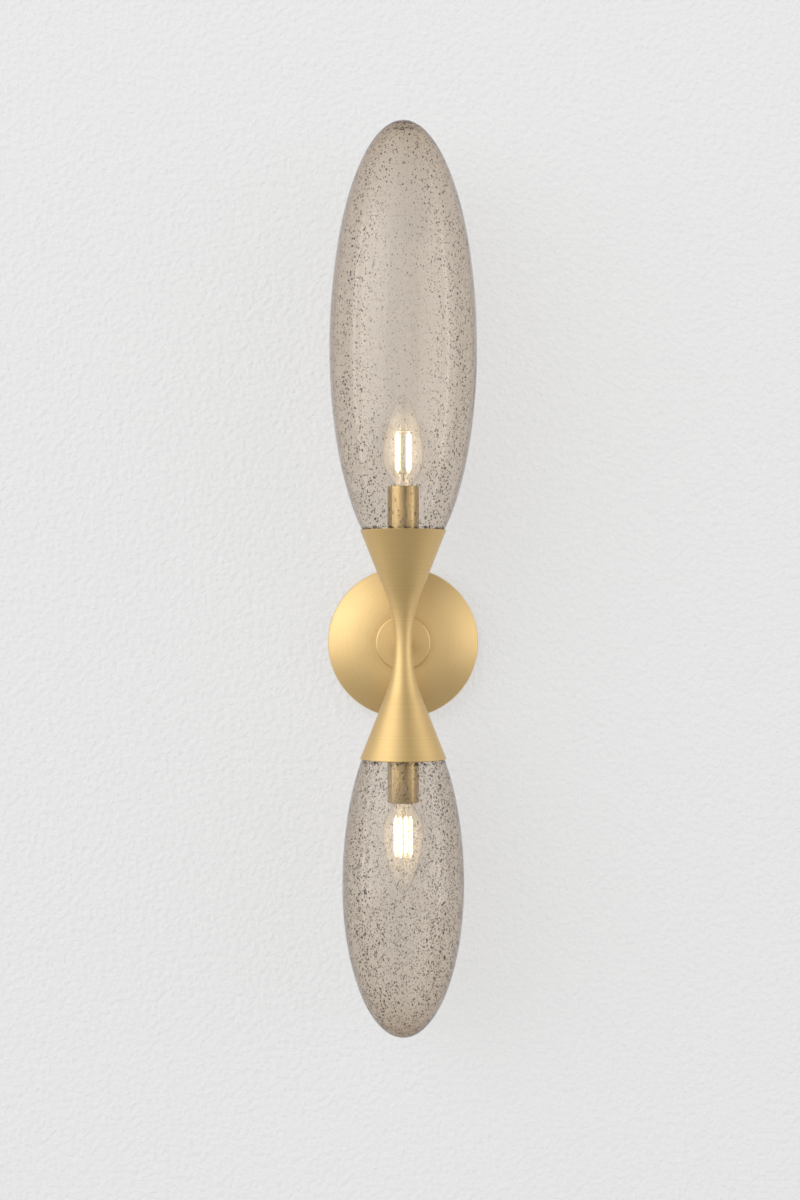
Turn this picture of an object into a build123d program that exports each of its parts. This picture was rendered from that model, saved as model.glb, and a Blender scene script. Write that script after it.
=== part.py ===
"""Double wall sconce: a brass hourglass on a round wall plate, a blown shade and a candle bulb at each end.

Millimetres. The wall is the plane Y = 0 and the room lies towards -Y. Z is up, X is to the right.
The origin is the middle of the wall plate, on the wall. Both shades stand on one upright lamp axis.
"""

import math
import os

from build123d import *

os.makedirs("parts", exist_ok=True)

# Lamp axis and brass hourglass
axis_to_wall = 75.0
body_half_height = 88.3
rim_diameter = 66.7
waist_diameter = 13.5
cone_angle = 21.8
body_wall = 1.0
rim_round = 0.4

# Blown glass shades, with heights measured from the waist
upper_belly_diameter = 114.0
upper_belly_height = 228.5
upper_tip_height = 404.0
lower_belly_diameter = 94.0
lower_belly_height = 186.0
lower_tip_height = 303.0
glass_wall = 3.0
glass_tip_wall = 4.0
neck_wall = 2.6
shoulder_round = 3.0
neck_round = 1.5

# Threaded cup in each cone, and the collar cemented to the neck of its shade
cup_wall = 1.6
cup_floor = 2.0
cup_height = 10.5
collar_wall = 1.6
collar_flange = 1.4
gasket_thickness = 1.5
washer_thickness = 0.8
washer_diameter = 18.0
nut_thickness = 4.0
nut_across_flats = 14.0

# Threaded tube that draws the two cups together through the waist
tube_diameter = 10.0
tube_bore = 7.2
tube_engagement = 6.0

# Candelabra socket and its brass sleeve
sleeve_diameter = 24.5
sleeve_wall = 0.8
sleeve_round = 0.3
socket_depth = 18.0
socket_floor = 4.0
socket_shell_wall = 0.4
contact_rise = 2.5
contact_strip = 0.4
contact_width = 3.0
terminal_diameter = 1.8
terminal_length = 5.0

# Candle bulb with four filament sticks
bulb_diameter = 32.0
bulb_length = 98.0
bulb_in_sleeve = 27.5
bulb_wall = 0.9
bulb_belly_rise = 50.0
bulb_tip_width = 14.0
base_diameter = 11.7
base_length = 14.9
base_wall = 0.35
base_overlap = 3.5
insulator_height = 2.4
insulator_end_diameter = 6.0
tip_diameter = 4.4
tip_height = 1.2
tip_round = 0.7
stem_diameter = 4.4
stem_top_diameter = 3.0
stem_rise = 31.0
stem_foot = 1.0
filament_diameter = 1.9
filament_length = 27.5
filament_rise = 40.0
filament_circle = 12.0
filament_tab_diameter = 0.9
filament_tab_length = 1.8
upper_filament_turn = 45.0
lower_filament_turn = 20.0
support_wire_diameter = 0.7
lead_in_diameter = 0.9

# Wall plate, arm and its fixings
plate_diameter = 120.65
plate_depth = 22.0
plate_skirt = 10.0
plate_wall = 1.2
plate_edge_round = 2.4
flange_diameter = 43.5
flange_thickness = 3.5
flange_edge_round = 1.2
pad_margin = 1.2
arm_diameter = 12.7
nipple_bore = 7.8
nipple_engagement = 12.0
nipple_tail = 2.0
lug_thickness = 0.8
lug_margin = 2.6
lug_tail_length = 4.5
lug_tail_width = 3.4

# Steel strap on the wall box, with an ear for each plate screw
strap_width = 20.0
strap_thickness = 2.0
strap_bend = 3.0
box_screw_spacing = 79.4
box_slot_length = 16.0
box_slot_width = 4.8
strap_hole_diameter = 10.3
plate_screw_diameter = 4.0
plate_screw_length = 9.0
plate_screw_depth = 5.0
screw_head_diameter = 7.2
screw_head_height = 2.0
ground_screw_height = 20.0

# Leads and their twist-on connectors
lead_diameter = 1.8
lead_spread = 3.6
lead_stack = 2.2
lead_bend = 5.0
lead_depth = 8.0
lead_end = 28.0
lead_hole_diameter = 7.0
ground_lead_diameter = 1.6
ground_lead_bend = 3.5
ground_lead_run = 4.0
ground_lead_overrun = 3.0
connector_start = 16.0
connector_length = 18.0
connector_mouth_diameter = 10.4
connector_end_diameter = 7.2
connector_wall = 1.2
connector_funnel = 6.0

# Clearances
rim_gap = 0.35
running_gap = 0.3
base_gap = 0.4
bulb_gap = 2.6
snug = 0.05
hole_gap = 0.2
sleeve_gap = 0.25
strap_gap = 0.2
lead_in_gap = 0.25

# Radii that follow from the diameters
rim_radius = rim_diameter / 2
waist_radius = waist_diameter / 2
tube_radius = tube_diameter / 2
plate_radius = plate_diameter / 2
flange_radius = flange_diameter / 2
arm_radius = arm_diameter / 2
bulb_radius = bulb_diameter / 2
base_radius = base_diameter / 2
sleeve_radius = sleeve_diameter / 2
lead_radius = lead_diameter / 2
lead_side = lead_spread / 2

# Hourglass outline: two straight cones meeting a single arc that is tangent to both
slope = math.tan(math.radians(cone_angle))
cone_cos = math.cos(math.radians(cone_angle))
cone_sin = math.sin(math.radians(cone_angle))
cone_start = rim_radius - body_half_height * slope
waist_arc = (waist_radius - cone_start) * cone_cos / (1 - cone_cos)
arc_height = waist_arc * cone_sin
arc_radius = waist_radius + waist_arc * (1 - cone_cos)
cone_inside_start = cone_start - body_wall / cone_cos

# Neck, collar and cup, from the bulb outwards
neck_inside = bulb_radius + bulb_gap
neck_outside = neck_inside + neck_wall
collar_inside = neck_outside + snug
collar_outside = collar_inside + collar_wall
cup_inside = collar_outside + running_gap
cup_outside = cup_inside + cup_wall
seat_radius = cone_inside_start + body_half_height * slope - rim_gap

# Heights along the lamp axis, from the cup outwards
cup_bottom = (cup_outside + snug - cone_inside_start) / slope
cup_seat = cup_bottom + cup_floor
cup_top = cup_bottom + cup_height
neck_end = cup_seat + gasket_thickness + running_gap
flange_bottom = cup_top + running_gap
flange_top = flange_bottom + collar_flange
shoulder_height = flange_top + snug
nut_bottom = cup_seat + washer_thickness
socket_bottom = nut_bottom + nut_thickness
tube_end = socket_bottom + tube_engagement
bulb_contact = socket_bottom + socket_depth
shell_seat = bulb_contact - contact_rise - running_gap
terminal_end = shell_seat - socket_floor - terminal_length
base_bottom = bulb_contact + tip_height + insulator_height
base_top = base_bottom + base_length
socket_top = base_top - base_overlap / 2
sleeve_top = bulb_contact + bulb_in_sleeve
bulb_tip_level = bulb_contact + bulb_length

# Distances from the wall, from the strap outwards
plate_inside = plate_depth - plate_wall
plate_washer_back = plate_inside - washer_thickness
lug_back = plate_washer_back - lug_thickness
plate_nut_back = lug_back - nut_thickness
nipple_back = plate_nut_back - nipple_tail
flange_front = plate_depth + flange_thickness
nipple_front = flange_front + nipple_engagement

lamp_axis = Axis((0, -axis_to_wall, 0), (0, 0, 1))
plate_profile = Plane(origin=(0, 0, 0), x_dir=(1, 0, 0), z_dir=(0, 0, -1))


def lamp_profile(end):
    """Upright plane through the lamp axis: X is the radius, Y the distance from the waist."""
    return Plane(origin=(0, -axis_to_wall, 0), x_dir=(1, 0, 0), z_dir=(0, -1 if end == "upper" else 1, 0))


def lamp_level(end, height):
    """Plane across the lamp axis at a height from the waist, facing away from the waist."""
    sign = 1 if end == "upper" else -1
    return Plane(origin=(0, -axis_to_wall, sign * height), x_dir=(1, 0, 0), z_dir=(0, 0, sign))


def wall_level(distance):
    """Plane parallel to the wall at a distance in front of it, facing the room."""
    return Plane.XZ.offset(distance)


def section(inside, outside, bottom, top):
    """Rectangle between two radii and two heights, for a turned ring or tube."""
    with Locations((inside, bottom)):
        Rectangle(outside - inside, top - bottom, align=(Align.MIN, Align.MIN))


def hex_nut():
    """Face of a hexagon nut for the threaded tube."""
    RegularPolygon(nut_across_flats / 2, 6, major_radius=False)
    Circle(tube_radius + snug, mode=Mode.SUBTRACT)


def save(piece, name):
    """Label a finished piece and write it as its own file."""
    piece.part.label = name
    export_step(piece.part, f"parts/{name}.step")


# Wall plate: a spun dish with a flat middle, a domed face and a straight skirt that meets the wall
pad_radius = flange_radius + pad_margin
with BuildPart() as backplate:
    with BuildSketch(plate_profile) as dish:
        with BuildLine():
            pad = Line((tube_radius + snug, plate_depth), (pad_radius, plate_depth))
            dome = TangentArc(pad @ 1, (plate_radius, plate_skirt), tangent=(1, 0))
            Line(dome @ 1, (plate_radius, 0))
            offset(amount=plate_wall, side=Side.RIGHT)
        make_face()
        corners = dish.vertices().filter_by_position(Axis.Y, plate_skirt - plate_wall, plate_skirt + snug)
        outer_corner = corners.sort_by(Axis.X)[-1]
        fillet(outer_corner, plate_edge_round)
    revolve(axis=Axis.Y)
    with BuildSketch(Plane.XY.move(Location((0, -plate_screw_depth, 0)))):
        Circle(plate_screw_diameter / 2 + hole_gap)
    extrude(amount=plate_radius + plate_wall, both=True, mode=Mode.SUBTRACT)
save(backplate, "backplate")

# Flat round flange between the arm and the wall plate
with BuildPart() as arm_flange:
    with BuildSketch(plate_profile) as flange_section:
        section(tube_radius + snug, flange_radius, plate_depth, flange_front)
        fillet(flange_section.vertices().group_by(Axis.Y)[-1].sort_by(Axis.X)[-1], flange_edge_round)
    revolve(axis=Axis.Y)
save(arm_flange, "arm_flange")

# Arm: a straight tube, coped to the waist and bored at the back for the threaded nipple
with BuildPart() as arm_tube:
    with BuildSketch(wall_level(flange_front)):
        Circle(arm_radius)
        Circle(nipple_bore / 2, mode=Mode.SUBTRACT)
    extrude(amount=axis_to_wall - flange_front)
    with BuildSketch(wall_level(flange_front)):
        Circle(tube_radius + snug)
    extrude(amount=nipple_engagement + snug, mode=Mode.SUBTRACT)
    with BuildSketch(lamp_profile("upper")):
        cope_radius = waist_radius + snug
        cope_arc = waist_arc - snug
        cope_height = waist_diameter
        cope_end = cope_radius + cope_arc - math.sqrt(cope_arc**2 - cope_height**2)
        with BuildLine():
            cope = ThreePointArc((cope_end, -cope_height), (cope_radius, 0), (cope_end, cope_height))
            Polyline(cope @ 1, (0, cope_height), (0, -cope_height), cope @ 0)
        make_face()
    revolve(axis=lamp_axis, mode=Mode.SUBTRACT)
save(arm_tube, "arm_tube")

# Threaded nipple that clamps arm, flange and wall plate together
with BuildPart() as arm_nipple:
    with BuildSketch(wall_level(nipple_back)):
        Circle(tube_radius)
        Circle(nipple_bore / 2, mode=Mode.SUBTRACT)
    extrude(amount=nipple_front - nipple_back)
save(arm_nipple, "arm_nipple")

with BuildPart() as arm_lock_washer:
    with BuildSketch(wall_level(plate_washer_back)):
        Circle(washer_diameter / 2)
        Circle(tube_radius + snug, mode=Mode.SUBTRACT)
    extrude(amount=washer_thickness)
save(arm_lock_washer, "arm_lock_washer")

# Earthing lug under the nut, with a tail that takes the ground lead
lug_radius = tube_radius + lug_margin
lug_tail_end = lug_radius + lug_tail_length
with BuildPart() as ground_lug:
    with BuildSketch(wall_level(lug_back)):
        Circle(lug_radius)
        with Locations((lead_side, tube_radius)):
            Rectangle(lug_tail_width, lug_tail_end - tube_radius, align=(Align.CENTER, Align.MIN))
        Circle(tube_radius + snug, mode=Mode.SUBTRACT)
    extrude(amount=lug_thickness)
save(ground_lug, "ground_lug")

with BuildPart() as arm_lock_nut:
    with BuildSketch(wall_level(plate_nut_back)):
        hex_nut()
    extrude(amount=nut_thickness)
save(arm_lock_nut, "arm_lock_nut")

# Steel strap: flat on the wall box, with two slots for the box screws and an ear at each end
skirt_inside = plate_radius - plate_wall
ear_height = plate_skirt - plate_wall
ear_face = math.sqrt(skirt_inside**2 - (strap_width / 2) ** 2) - strap_gap
with BuildPart() as mounting_strap:
    with BuildSketch(Plane.YZ):
        with BuildLine():
            FilletPolyline(
                (-ear_height, ear_face),
                (0, ear_face),
                (0, -ear_face),
                (-ear_height, -ear_face),
                radius=strap_bend,
            )
            offset(amount=strap_thickness, side=Side.RIGHT)
        make_face()
    extrude(amount=strap_width / 2, both=True)
    with BuildSketch(wall_level(0)):
        with GridLocations(0, box_screw_spacing, 1, 2):
            SlotOverall(box_slot_length, box_slot_width, rotation=90)
        Circle(strap_hole_diameter / 2)
        with Locations((0, ground_screw_height)):
            Circle(plate_screw_diameter / 2 + snug)
    extrude(amount=strap_thickness, mode=Mode.SUBTRACT)
    with BuildSketch(Plane.XY.move(Location((0, -plate_screw_depth, 0)))):
        Circle(plate_screw_diameter / 2 + snug)
    extrude(amount=ear_face + strap_thickness, both=True, mode=Mode.SUBTRACT)
save(mounting_strap, "mounting_strap")

# Two button head screws through the skirt into the ears
with BuildPart() as backplate_screws:
    with BuildSketch(Plane.XY.move(Location((0, -plate_screw_depth, plate_radius)))):
        Circle(screw_head_diameter / 2)
    extrude(amount=screw_head_height)
    fillet(backplate_screws.edges().group_by(Axis.Z)[-1], screw_head_height / 2)
    with BuildSketch(Plane.XY.move(Location((0, -plate_screw_depth, plate_radius)))):
        Circle(plate_screw_diameter / 2)
    extrude(amount=-plate_screw_length)
    mirror(about=Plane.XY)
save(backplate_screws, "backplate_screws")

# Ground screw in the strap, with room under its head for the ground lead
with BuildPart() as ground_screw:
    with BuildSketch(wall_level(strap_thickness + ground_lead_diameter)):
        with Locations((0, ground_screw_height)):
            Circle(screw_head_diameter / 2)
    extrude(amount=screw_head_height)
    with BuildSketch(wall_level(strap_thickness + ground_lead_diameter)):
        with Locations((0, ground_screw_height)):
            Circle(plate_screw_diameter / 2)
    extrude(amount=-strap_thickness - ground_lead_diameter)
save(ground_screw, "ground_screw")

# Bare ground lead from the lug, back to the strap and along it under the screw head
ground_lead_radius = ground_lead_diameter / 2
ground_start_depth = lug_back - ground_lead_radius
ground_side = plate_screw_diameter / 2 + ground_lead_radius + snug
ground_turn = lug_tail_end + ground_lead_run / 2
with BuildPart() as ground_lead:
    with BuildLine() as ground_route:
        FilletPolyline(
            (ground_side, -ground_start_depth, lug_tail_end - ground_lead_run),
            (ground_side, -ground_start_depth, ground_turn),
            (ground_side, -strap_thickness - ground_lead_radius, ground_turn),
            (ground_side, -strap_thickness - ground_lead_radius, ground_screw_height + ground_lead_overrun),
            radius=ground_lead_bend,
        )
    with BuildSketch(Plane(origin=ground_route.line @ 0, z_dir=ground_route.line % 0)):
        Circle(ground_lead_radius)
    sweep()
save(ground_lead, "ground_lead")

# Twist-on connectors that join the leads of both lamps, one on each side of the nipple
grip_radius = lead_stack / 2 + lead_radius + snug
connector_end = connector_start + connector_length
with BuildPart() as wire_connectors:
    with BuildSketch(Plane.XY.move(Location((0, -lead_depth, 0)))):
        with BuildLine():
            Polyline(
                (connector_start, connector_mouth_diameter / 2 - connector_wall),
                (connector_start, connector_mouth_diameter / 2),
                (connector_end, connector_end_diameter / 2),
                (connector_end, 0),
                (lead_end + snug, 0),
                (lead_end + snug, grip_radius),
                (connector_start + connector_funnel, grip_radius),
                close=True,
            )
        make_face()
    revolve(axis=Axis((0, -lead_depth, 0), (1, 0, 0)))
    mirror(about=Plane.YZ)
save(wire_connectors, "wire_connectors")

# Brass hourglass: a thin shell with rounded rims and a hole at the back of the waist for the leads
with BuildPart() as body_shell:
    with BuildSketch(lamp_profile("upper")) as hourglass:
        with BuildLine():
            Line((rim_radius, -body_half_height), (arc_radius, -arc_height))
            ThreePointArc((arc_radius, -arc_height), (waist_radius, 0), (arc_radius, arc_height))
            Line((arc_radius, arc_height), (rim_radius, body_half_height))
            offset(amount=body_wall, side=Side.LEFT)
        make_face()
        rim_corners = hourglass.vertices().sort_by(Axis.Y)
        fillet(rim_corners[:2] + rim_corners[-2:], rim_round)
    revolve(axis=lamp_axis)
    with BuildSketch(wall_level(axis_to_wall)):
        Circle(nipple_bore / 2)
    extrude(amount=-waist_diameter, mode=Mode.SUBTRACT)
save(body_shell, "body_shell")

# Threaded tube through the waist, with a side hole where the leads come in from the arm
with BuildPart() as center_tube:
    with BuildSketch(lamp_profile("upper")):
        section(tube_bore / 2, tube_radius, -tube_end, tube_end)
    revolve(axis=lamp_axis)
    with BuildSketch(wall_level(axis_to_wall)):
        Circle(lead_hole_diameter / 2)
    extrude(amount=-tube_diameter, mode=Mode.SUBTRACT)
save(center_tube, "center_tube")


def oval_arc(radius, reach, height, start, finish):
    """Up to a quarter of an upright ellipse on the lamp axis, as one cubic curve between two angles."""
    handle = 4 / 3 * math.tan((finish - start) / 4)
    first = Vector(math.cos(start), math.sin(start))
    last = Vector(math.cos(finish), math.sin(finish))
    controls = [
        first,
        first + Vector(-first.Y, first.X) * handle,
        last - Vector(-last.Y, last.X) * handle,
        last,
    ]
    return Bezier(*[(point.X * radius, height + point.Y * reach) for point in controls])


def egg(belly_radius, belly_height, crown_top, radius_at_rim, shoulder):
    """Half outline of a shade: a tall crown over a flank that passes the brass rim, flat at the shoulder."""
    lower_reach = (belly_height - body_half_height) / math.sqrt(1 - (radius_at_rim / belly_radius) ** 2)
    shoulder_angle = math.asin((belly_height - shoulder) / lower_reach)
    with BuildLine() as outline:
        crown = oval_arc(belly_radius, crown_top - belly_height, belly_height, 0, math.pi / 2)
        flank = oval_arc(belly_radius, lower_reach, belly_height, -shoulder_angle, 0)
        Polyline(flank @ 0, (0, shoulder), crown @ 1)
    return outline.edges()


def shoulder_corners(outline, height):
    """The two corners where the flat shoulder meets the neck and the flank."""
    level = outline.vertices().filter_by_position(Axis.Y, height - snug, height + snug)
    return level.sort_by(Axis.X)[-2:]


def candle(radius, neck, bottom, neck_top, belly, tip, tip_half_width):
    """Half outline of a candle bulb: straight neck, full belly and a drawn out, rounded tip."""
    flare = (belly - neck_top) / 2
    with BuildLine() as outline:
        Polyline((0, tip), (0, bottom), (neck, bottom), (neck, neck_top))
        Bezier((neck, neck_top), (neck, neck_top + flare), (radius, belly - flare), (radius, belly))
        Bezier((radius, belly), (radius, belly + flare), (tip_half_width, tip), (0, tip))
    return outline.edges()


ends = {
    "upper": (upper_belly_diameter / 2, upper_belly_height, upper_tip_height, upper_filament_turn),
    "lower": (lower_belly_diameter / 2, lower_belly_height, lower_tip_height, lower_filament_turn),
}

for end, (belly_radius, belly_height, tip_level, filament_turn) in ends.items():
    profile = lamp_profile(end)
    up = 1 if end == "upper" else -1

    # Cup with a threaded wall, wedged in the cone and drawn down by its nut
    with BuildPart() as shade_cup:
        with BuildSketch(profile):
            section(tube_radius + snug, cup_outside, cup_bottom, cup_seat)
            section(cup_inside, cup_outside, cup_bottom, cup_top)
        revolve(axis=lamp_axis)
    save(shade_cup, f"{end}_shade_cup")

    with BuildPart() as shade_gasket:
        with BuildSketch(profile):
            section(neck_inside, cup_inside - snug, cup_seat, cup_seat + gasket_thickness)
        revolve(axis=lamp_axis)
    save(shade_gasket, f"{end}_shade_gasket")

    with BuildPart() as cup_washer:
        with BuildSketch(profile):
            section(tube_radius + snug, washer_diameter / 2, cup_seat, nut_bottom)
        revolve(axis=lamp_axis)
    save(cup_washer, f"{end}_cup_washer")

    with BuildPart() as cup_nut:
        with BuildSketch(lamp_level(end, nut_bottom)):
            hex_nut()
        extrude(amount=nut_thickness)
    save(cup_nut, f"{end}_cup_nut")

    # Socket body: bored for the tube, hollow for the terminals, with a deep pocket for the screw shell
    shell_inside = base_radius + base_gap
    shell_outside = shell_inside + socket_shell_wall
    socket_radius = sleeve_radius - sleeve_wall - sleeve_gap
    with BuildPart() as socket_body:
        with BuildSketch(profile):
            section(tube_radius + snug, socket_radius, socket_bottom, shell_seat)
            section(0, socket_radius, shell_seat - socket_floor, shell_seat)
            section(shell_outside + snug, socket_radius, shell_seat, socket_top)
        revolve(axis=lamp_axis)
        with BuildSketch(lamp_level(end, shell_seat)):
            with GridLocations(lead_spread, 0, 2, 1):
                Circle(terminal_diameter / 2 + snug)
        extrude(amount=-socket_floor, mode=Mode.SUBTRACT)
    save(socket_body, f"{end}_socket_body")

    # Screw shell with its foot and terminal on the right
    with BuildPart() as socket_shell:
        with BuildSketch(profile):
            section(shell_inside, shell_outside, shell_seat, socket_top)
        revolve(axis=lamp_axis)
        with BuildSketch(profile):
            section(lead_side - terminal_diameter / 2, shell_inside + socket_shell_wall / 2, shell_seat,
                    shell_seat + contact_strip)
        extrude(amount=contact_width / 2, both=True)
        with BuildSketch(lamp_level(end, terminal_end)):
            with Locations((lead_side, 0)):
                Circle(terminal_diameter / 2)
        extrude(amount=shell_seat - terminal_end)
    save(socket_shell, f"{end}_socket_shell")

    # Spring tongue for the bulb's tip, with its terminal on the left
    tongue_reach = lead_side - terminal_diameter / 2 - contact_strip
    with BuildPart() as socket_contact:
        with BuildSketch(profile):
            with BuildLine():
                Polyline(
                    (-lead_side - terminal_diameter / 2, shell_seat + contact_strip / 2),
                    (-lead_side + terminal_diameter / 2, shell_seat + contact_strip / 2),
                    (0, shell_seat + contact_rise - contact_strip / 2),
                    (tongue_reach, shell_seat + contact_rise - contact_strip / 2),
                )
            trace(line_width=contact_strip)
        extrude(amount=contact_width / 2, both=True)
        with BuildSketch(lamp_level(end, terminal_end)):
            with Locations((-lead_side, 0)):
                Circle(terminal_diameter / 2)
        extrude(amount=shell_seat - terminal_end)
    save(socket_contact, f"{end}_socket_contact")

    with BuildPart() as socket_sleeve:
        with BuildSketch(profile) as sleeve_section:
            section(sleeve_radius - sleeve_wall, sleeve_radius, cup_seat, sleeve_top)
            fillet(sleeve_section.vertices().group_by(Axis.Y)[-1], sleeve_round)
        revolve(axis=lamp_axis)
    save(socket_sleeve, f"{end}_socket_sleeve")

    # Leads: from a terminal down the tube, back through the arm and sideways into a connector
    for lead, lead_x in (("live", -lead_side), ("neutral", lead_side)):
        lead_z = up * lead_stack / 2
        with BuildPart() as lamp_lead:
            with BuildLine() as route:
                FilletPolyline(
                    (lead_x, -axis_to_wall, up * terminal_end),
                    (lead_x, -axis_to_wall, lead_z),
                    (lead_x, -lead_depth, lead_z),
                    (math.copysign(lead_end, lead_x), -lead_depth, lead_z),
                    radius=lead_bend,
                )
            with BuildSketch(Plane(origin=route.line @ 0, z_dir=route.line % 0)):
                Circle(lead_radius)
            sweep()
        save(lamp_lead, f"{end}_{lead}_lead")

    # Shade: one blown shell, closed at the tip, with a drawn in shoulder and a straight neck
    inner_shoulder = shoulder_height + glass_wall
    outer_shape = (belly_radius, belly_height, tip_level, seat_radius)
    inner_belly = belly_radius - glass_wall
    inner_seat = seat_radius - glass_wall
    inner_shape = (inner_belly, belly_height, tip_level - glass_tip_wall, inner_seat)
    with BuildSketch() as hollow:
        make_face(egg(*inner_shape, inner_shoulder))
        section(0, neck_inside, neck_end, inner_shoulder)
        fillet(shoulder_corners(hollow, inner_shoulder)[:1], neck_round + neck_wall)
    with BuildPart() as glass:
        with BuildSketch(profile) as blown:
            make_face(egg(*outer_shape, shoulder_height))
            section(0, neck_outside, neck_end, shoulder_height)
            fillet(shoulder_corners(blown, shoulder_height)[:1], neck_round)
            fillet(shoulder_corners(blown, shoulder_height)[-1:], shoulder_round)
            add(hollow.sketch, mode=Mode.SUBTRACT)
        revolve(axis=lamp_axis)
    save(glass, f"{end}_glass")

    # Threaded collar round the neck, with a flange under the shoulder
    with BuildPart() as glass_collar:
        with BuildSketch(profile):
            section(collar_inside, collar_outside, neck_end, flange_bottom)
            section(collar_inside + neck_round, cup_outside, flange_bottom, flange_top)
            section(collar_inside, collar_outside, neck_end, flange_top - neck_round)
        revolve(axis=lamp_axis)
    save(glass_collar, f"{end}_glass_collar")

    # Bulb: clear envelope on a screw base, with a solder tip below the insulator
    neck_radius = base_radius - base_wall - snug
    neck_bottom = base_top - base_overlap
    belly_level = bulb_contact + bulb_belly_rise
    tip_half_width = bulb_tip_width / 2
    envelope = (bulb_radius, neck_radius, neck_bottom, base_top, belly_level, bulb_tip_level, tip_half_width)
    cavity_top = bulb_tip_level - bulb_wall
    cavity_half_width = tip_half_width - bulb_wall
    cavity_radii = (bulb_radius - bulb_wall, neck_radius - bulb_wall)
    cavity = (*cavity_radii, neck_bottom, base_top, belly_level, cavity_top, cavity_half_width)
    with BuildPart() as bulb_glass:
        with BuildSketch(profile):
            make_face(candle(*envelope))
        revolve(axis=lamp_axis)
        with BuildSketch(profile):
            make_face(candle(*cavity))
        revolve(axis=lamp_axis, mode=Mode.SUBTRACT)
    save(bulb_glass, f"{end}_bulb_glass")

    with BuildPart() as bulb_base:
        with BuildSketch(profile):
            section(base_radius - base_wall, base_radius, base_bottom, base_top)
        revolve(axis=lamp_axis)
    save(bulb_base, f"{end}_bulb_base")

    with BuildPart() as bulb_insulator:
        with BuildSketch(profile):
            with BuildLine():
                Polyline(
                    (0, base_bottom),
                    (base_radius, base_bottom),
                    (insulator_end_diameter / 2, base_bottom - insulator_height),
                    (0, base_bottom - insulator_height),
                    close=True,
                )
            make_face()
        revolve(axis=lamp_axis)
    save(bulb_insulator, f"{end}_bulb_insulator")

    with BuildPart() as bulb_tip:
        with BuildSketch(profile) as tip_section:
            section(0, tip_diameter / 2, bulb_contact, bulb_contact + tip_height)
            fillet(tip_section.vertices().group_by(Axis.Y)[0].sort_by(Axis.X)[-1], tip_round)
        revolve(axis=lamp_axis)
    save(bulb_tip, f"{end}_bulb_tip")

    # Glass stem on a foot that closes the neck
    stem_top = bulb_contact + stem_rise
    stem_fit = neck_radius - bulb_wall - snug
    with BuildPart() as bulb_stem:
        with BuildSketch(profile):
            with BuildLine():
                Polyline(
                    (0, neck_bottom),
                    (stem_fit, neck_bottom),
                    (stem_fit, neck_bottom + stem_foot),
                    (stem_diameter / 2, neck_bottom + 2 * stem_foot),
                    (stem_top_diameter / 2, stem_top),
                    (0, stem_top),
                    close=True,
                )
            make_face()
        revolve(axis=lamp_axis)
    save(bulb_stem, f"{end}_bulb_stem")

    # Four upright filament sticks with a thin metal tab at each end
    filament_bottom = bulb_contact + filament_rise
    with BuildPart() as bulb_filaments:
        with BuildSketch(lamp_level(end, filament_bottom)):
            with PolarLocations(filament_circle / 2, 4, start_angle=filament_turn):
                Circle(filament_diameter / 2)
        extrude(amount=filament_length)
        with BuildSketch(lamp_level(end, filament_bottom - filament_tab_length)):
            with PolarLocations(filament_circle / 2, 4, start_angle=filament_turn):
                Circle(filament_tab_diameter / 2)
        extrude(amount=filament_length + 2 * filament_tab_length)
    save(bulb_filaments, f"{end}_bulb_filaments")

    # Support wires: a cross over the filaments, and two forked leads from the stem to the lower tabs
    wire_radius = support_wire_diameter / 2
    lead_in_radius = lead_in_diameter / 2
    cross_level = filament_bottom + filament_length + filament_tab_length + wire_radius + snug
    fork_level = filament_bottom - filament_tab_length - wire_radius - snug
    corners = []
    for quarter in range(4):
        angle = math.radians(filament_turn + 90 * quarter)
        corners.append(Vector(math.cos(angle), math.sin(angle)) * filament_circle / 2)
    cross_plane = lamp_level(end, cross_level)
    fork_plane = lamp_level(end, fork_level)
    runs = [
        (cross_plane, corners[0], corners[2], wire_radius),
        (cross_plane, corners[1], corners[3], wire_radius),
    ]
    for first, second in ((corners[0], corners[1]), (corners[2], corners[3])):
        middle = (first + second) / 2
        drop = Vector(0, 0, stem_top + lead_in_gap - fork_level)
        foot = middle.normalized() * (stem_top_diameter / 2 - lead_in_radius) + drop
        runs.append((fork_plane, first, second, wire_radius))
        runs.append((fork_plane, middle, foot, lead_in_radius))
    with BuildPart() as bulb_wires:
        for plane, start, finish, radius in runs:
            with BuildLine() as run:
                Line(plane.from_local_coords(start), plane.from_local_coords(finish))
            with BuildSketch(Plane(origin=run.line @ 0, z_dir=run.line % 0)):
                Circle(radius)
            sweep()
    save(bulb_wires, f"{end}_bulb_wires")
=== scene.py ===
"""Up and down wall sconce: a brass hourglass on a round plate, and two seeded glass shades over lit bulbs.

Metres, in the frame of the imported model: the wall is the plane Y = 0, the room lies towards -Y and Z is up.
"""

import math

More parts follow.
